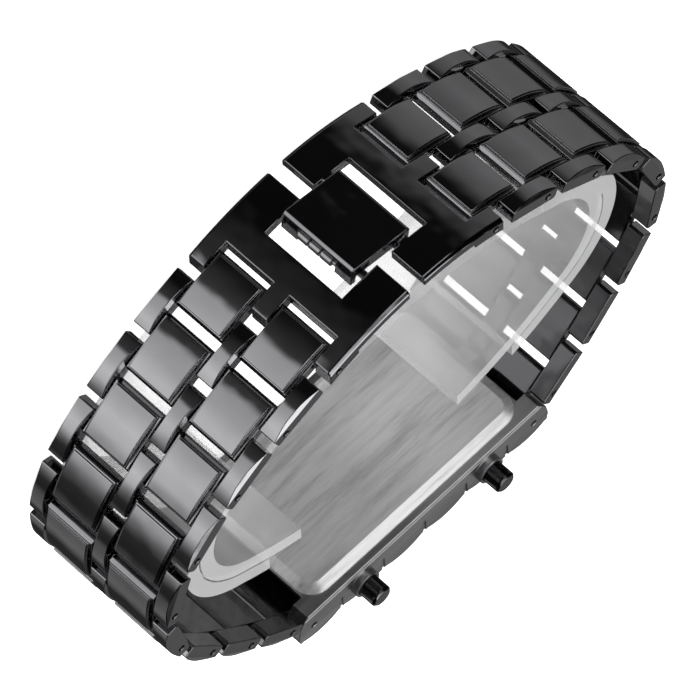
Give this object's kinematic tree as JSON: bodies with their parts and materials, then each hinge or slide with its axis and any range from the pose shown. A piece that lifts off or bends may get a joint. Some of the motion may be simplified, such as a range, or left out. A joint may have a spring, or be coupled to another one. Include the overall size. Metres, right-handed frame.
{
  "type": "bracelet watch",
  "caption": "Bracelet watch with a closed front, hinged link band, flap clasp, side pushers and an open clear cuff in the loop.",
  "frame": {"origin": "bottom centre of the bounding box, on the plane of the band's far side that the watch lies on", "axes": "+Z across the band towards the pushers, +X along the case, +Y from the case to the clasp"},
  "size_m": [0.0884, 0.0672, 0.0276],
  "materials": {
    "link_steel": "black plated, polished",
    "clasp_steel": "black plated, polished",
    "pin_steel": "drawn",
    "case_steel": "dark plated, satin",
    "back_steel": "long brushed",
    "filter_plastic": "dark tinted",
    "led_plastic": "clear resin",
    "board_plastic": "lacquered",
    "frame_plastic": "moulded",
    "cell_steel": "bright",
    "clip_brass": "rolled",
    "seal_rubber": "moulded",
    "clear_plastic": "clear, polished"
  },
  "bodies": {
    "case": {"case_shell": "case_steel", "front_blocks": "link_steel", "light_filter": "filter_plastic", "leds": "led_plastic", "led_board": "board_plastic", "module_frame": "frame_plastic", "cell_r": "cell_steel", "cell_l": "cell_steel", "cell_clip": "clip_brass", "gasket": "seal_rubber", "back_plate": "back_steel", "case_pin_r": "pin_steel", "case_pin_l": "pin_steel", "spring_r": "pin_steel", "spring_l": "pin_steel"},
    "wide_r8": {"wide_r8": "link_steel"},
    "narrow_r8": {"narrow_r8": "link_steel"},
    "wide_r7": {"wide_r7": "link_steel"},
    "narrow_r7": {"narrow_r7": "link_steel"},
    "wide_r6": {"wide_r6": "link_steel"},
    "narrow_r6": {"narrow_r6": "link_steel"},
    "wide_r5": {"wide_r5": "link_steel"},
    "narrow_r5": {"narrow_r5": "link_steel"},
    "wide_r4": {"wide_r4": "link_steel"},
    "narrow_r4": {"narrow_r4": "link_steel"},
    "wide_r3": {"wide_r3": "link_steel"},
    "narrow_r3": {"narrow_r3": "link_steel"},
    "wide_r2": {"wide_r2": "link_steel"},
    "narrow_r2": {"narrow_r2": "link_steel"},
    "wide_r1": {"wide_r1": "link_steel"},
    "narrow_r1": {"narrow_r1": "link_steel"},
    "wide_r0": {"wide_r0": "link_steel"},
    "plate_r": {"plate_r": "clasp_steel", "flap_pin": "pin_steel"},
    "wide_l8": {"wide_l8": "link_steel"},
    "narrow_l8": {"narrow_l8": "link_steel"},
    "wide_l7": {"wide_l7": "link_steel"},
    "narrow_l7": {"narrow_l7": "link_steel"},
    "wide_l6": {"wide_l6": "link_steel"},
    "narrow_l6": {"narrow_l6": "link_steel"},
    "wide_l5": {"wide_l5": "link_steel"},
    "narrow_l5": {"narrow_l5": "link_steel"},
    "wide_l4": {"wide_l4": "link_steel"},
    "narrow_l4": {"narrow_l4": "link_steel"},
    "wide_l3": {"wide_l3": "link_steel"},
    "narrow_l3": {"narrow_l3": "link_steel"},
    "wide_l2": {"wide_l2": "link_steel"},
    "narrow_l2": {"narrow_l2": "link_steel"},
    "wide_l1": {"wide_l1": "link_steel"},
    "narrow_l1": {"narrow_l1": "link_steel"},
    "wide_l0": {"wide_l0": "link_steel"},
    "plate_l": {"plate_l": "clasp_steel", "catch_bar": "pin_steel"},
    "flap": {"flap": "clasp_steel", "grip_roller": "pin_steel"},
    "pusher_r": {"pusher_r": "clasp_steel"},
    "pusher_l": {"pusher_l": "clasp_steel"},
    "cuff": {"display_cuff": "clear_plastic"}
  },
  "joints": [
    {"name": "band_open_r17", "type": "hinge", "parent": "case", "child": "wide_r8", "pos_m": [0.01995, -0.03078, 0.012], "axis": [0, 0, -1], "range_deg": [0, 20]},
    {"name": "band_open_r16", "type": "hinge", "parent": "wide_r8", "child": "narrow_r8", "pos_m": [0.02368, -0.02765, 0.012], "axis": [0, 0, -1], "range_deg": [0, 3]},
    {"name": "band_open_r15", "type": "hinge", "parent": "narrow_r8", "child": "wide_r7", "pos_m": [0.0273, -0.02439, 0.012], "axis": [0, 0, -1], "range_deg": [0, 4]},
    {"name": "band_open_r14", "type": "hinge", "parent": "wide_r7", "child": "narrow_r7", "pos_m": [0.03068, -0.02089, 0.012], "axis": [0, 0, -1], "range_deg": [0, 3]},
    {"name": "band_open_r13", "type": "hinge", "parent": "narrow_r7", "child": "wide_r6", "pos_m": [0.03391, -0.01724, 0.012], "axis": [0, 0, -1], "range_deg": [0, 3]},
    {"name": "band_open_r12", "type": "hinge", "parent": "wide_r6", "child": "narrow_r6", "pos_m": [0.03701, -0.01348, 0.012], "axis": [0, 0, -1], "range_deg": [0, 4.5]},
    {"name": "band_open_r11", "type": "hinge", "parent": "narrow_r6", "child": "wide_r5", "pos_m": [0.0398, -0.00949, 0.012], "axis": [0, 0, -1], "range_deg": [0, 10]},
    {"name": "band_open_r10", "type": "hinge", "parent": "wide_r5", "child": "narrow_r5", "pos_m": [0.04186, -0.00508, 0.012], "axis": [0, 0, -1], "range_deg": [0, 14]},
    {"name": "band_open_r9", "type": "hinge", "parent": "narrow_r5", "child": "wide_r4", "pos_m": [0.04279, -0.0003, 0.012], "axis": [0, 0, -1], "range_deg": [0, 15.5]},
    {"name": "band_open_r8", "type": "hinge", "parent": "wide_r4", "child": "narrow_r4", "pos_m": [0.04241, 0.00456, 0.012], "axis": [0, 0, -1], "range_deg": [0, 15.5]},
    {"name": "band_open_r7", "type": "hinge", "parent": "narrow_r4", "child": "wide_r3", "pos_m": [0.04074, 0.00913, 0.012], "axis": [0, 0, -1], "range_deg": [0, 13.5]},
    {"name": "band_open_r6", "type": "hinge", "parent": "wide_r3", "child": "narrow_r3", "pos_m": [0.03805, 0.01319, 0.012], "axis": [0, 0, -1], "range_deg": [0, 10.5]},
    {"name": "band_open_r5", "type": "hinge", "parent": "narrow_r3", "child": "wide_r2", "pos_m": [0.03467, 0.0167, 0.012], "axis": [0, 0, -1], "range_deg": [0, 7.5]},
    {"name": "band_open_r4", "type": "hinge", "parent": "wide_r2", "child": "narrow_r2", "pos_m": [0.03086, 0.01973, 0.012], "axis": [0, 0, -1], "range_deg": [0, 5.5]},
    {"name": "band_open_r3", "type": "hinge", "parent": "narrow_r2", "child": "wide_r1", "pos_m": [0.02677, 0.02238, 0.012], "axis": [0, 0, -1], "range_deg": [0, 5]},
    {"name": "band_open_r2", "type": "hinge", "parent": "wide_r1", "child": "narrow_r1", "pos_m": [0.02247, 0.02467, 0.012], "axis": [0, 0, -1], "range_deg": [0, 5]},
    {"name": "band_open_r1", "type": "hinge", "parent": "narrow_r1", "child": "wide_r0", "pos_m": [0.01799, 0.02657, 0.012], "axis": [0, 0, -1], "range_deg": [0, 3]},
    {"name": "band_open_r0", "type": "hinge", "parent": "wide_r0", "child": "plate_r", "pos_m": [0.01341, 0.02824, 0.012], "axis": [0, 0, -1], "range_deg": [0, 3]},
    {"name": "band_open_l17", "type": "hinge", "parent": "case", "child": "wide_l8", "pos_m": [-0.01995, -0.03078, 0.012], "axis": [0, 0, 1], "range_deg": [0, 20]},
    {"name": "band_open_l16", "type": "hinge", "parent": "wide_l8", "child": "narrow_l8", "pos_m": [-0.02368, -0.02765, 0.012], "axis": [0, 0, 1], "range_deg": [0, 3]},
    {"name": "band_open_l15", "type": "hinge", "parent": "narrow_l8", "child": "wide_l7", "pos_m": [-0.0273, -0.02439, 0.012], "axis": [0, 0, 1], "range_deg": [0, 4]},
    {"name": "band_open_l14", "type": "hinge", "parent": "wide_l7", "child": "narrow_l7", "pos_m": [-0.03068, -0.02089, 0.012], "axis": [0, 0, 1], "range_deg": [0, 3]},
    {"name": "band_open_l13", "type": "hinge", "parent": "narrow_l7", "child": "wide_l6", "pos_m": [-0.03391, -0.01724, 0.012], "axis": [0, 0, 1], "range_deg": [0, 3]},
    {"name": "band_open_l12", "type": "hinge", "parent": "wide_l6", "child": "narrow_l6", "pos_m": [-0.03701, -0.01348, 0.012], "axis": [0, 0, 1], "range_deg": [0, 4.5]},
    {"name": "band_open_l11", "type": "hinge", "parent": "narrow_l6", "child": "wide_l5", "pos_m": [-0.0398, -0.00949, 0.012], "axis": [0, 0, 1], "range_deg": [0, 10]},
    {"name": "band_open_l10", "type": "hinge", "parent": "wide_l5", "child": "narrow_l5", "pos_m": [-0.04186, -0.00508, 0.012], "axis": [0, 0, 1], "range_deg": [0, 14]},
    {"name": "band_open_l9", "type": "hinge", "parent": "narrow_l5", "child": "wide_l4", "pos_m": [-0.04279, -0.0003, 0.012], "axis": [0, 0, 1], "range_deg": [0, 15.5]},
    {"name": "band_open_l8", "type": "hinge", "parent": "wide_l4", "child": "narrow_l4", "pos_m": [-0.04241, 0.00456, 0.012], "axis": [0, 0, 1], "range_deg": [0, 15.5]},
    {"name": "band_open_l7", "type": "hinge", "parent": "narrow_l4", "child": "wide_l3", "pos_m": [-0.04074, 0.00913, 0.012], "axis": [0, 0, 1], "range_deg": [0, 13.5]},
    {"name": "band_open_l6", "type": "hinge", "parent": "wide_l3", "child": "narrow_l3", "pos_m": [-0.03805, 0.01319, 0.012], "axis": [0, 0, 1], "range_deg": [0, 10.5]},
    {"name": "band_open_l5", "type": "hinge", "parent": "narrow_l3", "child": "wide_l2", "pos_m": [-0.03467, 0.0167, 0.012], "axis": [0, 0, 1], "range_deg": [0, 7.5]},
    {"name": "band_open_l4", "type": "hinge", "parent": "wide_l2", "child": "narrow_l2", "pos_m": [-0.03086, 0.01973, 0.012], "axis": [0, 0, 1], "range_deg": [0, 5.5]},
    {"name": "band_open_l3", "type": "hinge", "parent": "narrow_l2", "child": "wide_l1", "pos_m": [-0.02677, 0.02238, 0.012], "axis": [0, 0, 1], "range_deg": [0, 5]},
    {"name": "band_open_l2", "type": "hinge", "parent": "wide_l1", "child": "narrow_l1", "pos_m": [-0.02247, 0.02467, 0.012], "axis": [0, 0, 1], "range_deg": [0, 5]},
    {"name": "band_open_l1", "type": "hinge", "parent": "narrow_l1", "child": "wide_l0", "pos_m": [-0.01799, 0.02657, 0.012], "axis": [0, 0, 1], "range_deg": [0, 3]},
    {"name": "band_open_l0", "type": "hinge", "parent": "wide_l0", "child": "plate_l", "pos_m": [-0.01341, 0.02824, 0.012], "axis": [0, 0, 1], "range_deg": [0, 3]},
    {"name": "flap_open", "type": "hinge", "parent": "plate_r", "child": "flap", "pos_m": [0.0033, 0.03072, 0.012], "axis": [0, 0, -1], "range_deg": [0, 100]},
    {"name": "pusher_press_r", "type": "slide", "parent": "case", "child": "pusher_r", "axis": [0, 0, -1], "range_m": [0, 0.0006], "stiffness_N_per_m": 800},
    {"name": "pusher_press_l", "type": "slide", "parent": "case", "child": "pusher_l", "axis": [0, 0, -1], "range_m": [0, 0.0006], "stiffness_N_per_m": 800},
    {"name": "cuff_out", "type": "slide", "parent": "case", "child": "cuff", "axis": [0, 0, 1], "range_m": [0, 0.03]}
  ],
  "couplings": [
    {"joint": "band_open_l17", "follows": "band_open_r17", "ratio": 1},
    {"joint": "band_open_l16", "follows": "band_open_r16", "ratio": 1},
    {"joint": "band_open_l15", "follows": "band_open_r15", "ratio": 1},
    {"joint": "band_open_l14", "follows": "band_open_r14", "ratio": 1},
    {"joint": "band_open_l13", "follows": "band_open_r13", "ratio": 1},
    {"joint": "band_open_l12", "follows": "band_open_r12", "ratio": 1},
    {"joint": "band_open_l11", "follows": "band_open_r11", "ratio": 1},
    {"joint": "band_open_l10", "follows": "band_open_r10", "ratio": 1},
    {"joint": "band_open_l9", "follows": "band_open_r9", "ratio": 1},
    {"joint": "band_open_l8", "follows": "band_open_r8", "ratio": 1},
    {"joint": "band_open_l7", "follows": "band_open_r7", "ratio": 1},
    {"joint": "band_open_l6", "follows": "band_open_r6", "ratio": 1},
    {"joint": "band_open_l5", "follows": "band_open_r5", "ratio": 1},
    {"joint": "band_open_l4", "follows": "band_open_r4", "ratio": 1},
    {"joint": "band_open_l3", "follows": "band_open_r3", "ratio": 1},
    {"joint": "band_open_l2", "follows": "band_open_r2", "ratio": 1},
    {"joint": "band_open_l1", "follows": "band_open_r1", "ratio": 1},
    {"joint": "band_open_l0", "follows": "band_open_r0", "ratio": 1}
  ]
}
